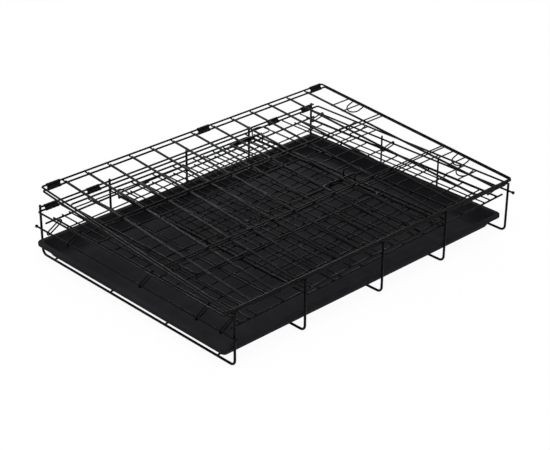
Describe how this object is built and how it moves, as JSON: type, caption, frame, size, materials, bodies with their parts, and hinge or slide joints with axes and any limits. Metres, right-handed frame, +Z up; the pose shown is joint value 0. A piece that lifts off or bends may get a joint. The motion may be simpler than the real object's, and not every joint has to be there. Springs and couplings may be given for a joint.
{
  "type": "folding wire pet cage",
  "caption": "Folding wire pet cage lying folded flat: bent-wire base with a slide-out tray, hinged grid sides, ends and roof, and a barred door with slide bolts.",
  "frame": {"origin": "on the floor, under the middle of the folded whole", "axes": "X along the long sides, Y from the front long side to the back one, Z up"},
  "size_m": [0.639, 0.482, 0.1353],
  "materials": {
    "coated_wire": "black baked coating on steel wire",
    "clip_steel": "black coated sheet steel, wrapped round two wires",
    "tray_plastic": "black moulded plastic with a fine grain"
  },
  "bodies": {
    "base": {"base_cross_wires": "coated_wire", "floor_outer_wires": "coated_wire", "floor_post_wires": "coated_wire", "side_rim_wires": "coated_wire", "left_end_rail": "coated_wire", "right_end_rail": "coated_wire", "side_a_hinge_clips": "clip_steel", "side_b_hinge_clips": "clip_steel"},
    "tray": {"tray": "tray_plastic"},
    "left_end_panel": {"left_end_edge_wires": "coated_wire", "left_end_hinge_loops": "coated_wire", "left_end_level_wires": "coated_wire", "left_end_side_hooks": "coated_wire", "left_end_upright_wires": "coated_wire"},
    "right_end_panel": {"right_end_edge_wires": "coated_wire", "right_end_hinge_loops": "coated_wire", "right_end_level_wires": "coated_wire", "right_end_side_hooks": "coated_wire", "right_end_upright_wires": "coated_wire"},
    "side_a": {"side_a_frame": "coated_wire", "side_a_keeper_loops": "coated_wire", "side_a_keeper_wires": "coated_wire", "side_a_level_wires": "coated_wire", "side_a_upright_wires": "coated_wire", "door_hinge_clips": "clip_steel", "bolt_catches": "coated_wire"},
    "door": {"door_frame": "coated_wire", "door_upright_wires": "coated_wire", "door_level_wires": "coated_wire", "bolt_guides": "coated_wire"},
    "lower_bolt": {"lower_slide_bolt": "coated_wire"},
    "upper_bolt": {"upper_slide_bolt": "coated_wire"},
    "side_b": {"side_b_frame": "coated_wire", "side_b_keeper_loops": "coated_wire", "side_b_keeper_wires": "coated_wire", "side_b_level_wires": "coated_wire", "side_b_upright_wires": "coated_wire", "roof_hinge_clips": "clip_steel"},
    "roof": {"roof_cross_wires": "coated_wire", "roof_frame": "coated_wire", "roof_level_wires": "coated_wire"}
  },
  "joints": [
    {"name": "side_b_hinge", "type": "hinge", "parent": "base", "child": "side_b", "pos_m": [0.0035, -0.228, 0.09155], "axis": [1, 0, 0], "range_deg": [0, 85.4]},
    {"name": "roof_hinge", "type": "hinge", "parent": "side_b", "child": "roof", "pos_m": [0.0035, 0.20831, 0.13262], "axis": [-1, 0, 0], "range_deg": [0, 240]},
    {"name": "tray_slide", "type": "slide", "parent": "base", "child": "tray", "axis": [-1, 0, 0], "range_m": [0, 0.58]},
    {"name": "side_a_hinge", "type": "hinge", "parent": "base", "child": "side_a", "pos_m": [0.0035, 0.2221, 0.0833], "axis": [-1, 0, 0], "range_deg": [0, 0.5]},
    {"name": "left_end_hinge", "type": "hinge", "parent": "base", "child": "left_end_panel", "pos_m": [-0.30515, 0, 0.0498], "axis": [0, -1, 0], "range_deg": [0, 0.3]},
    {"name": "right_end_hinge", "type": "hinge", "parent": "base", "child": "right_end_panel", "pos_m": [0.31215, 0, 0.0738], "axis": [0, 1, 0], "range_deg": [0, 0.25]},
    {"name": "door_hinge", "type": "hinge", "parent": "side_a", "child": "door", "pos_m": [-0.26099, 0, 0.0833], "axis": [0, -1, 0], "range_deg": [0, 0.6]},
    {"name": "lower_bolt_slide", "type": "slide", "parent": "door", "child": "lower_bolt", "axis": [-1, 0, 0], "range_m": [0, 0.022]},
    {"name": "upper_bolt_slide", "type": "slide", "parent": "door", "child": "upper_bolt", "axis": [-1, 0, 0], "range_m": [0, 0.022]}
  ]
}
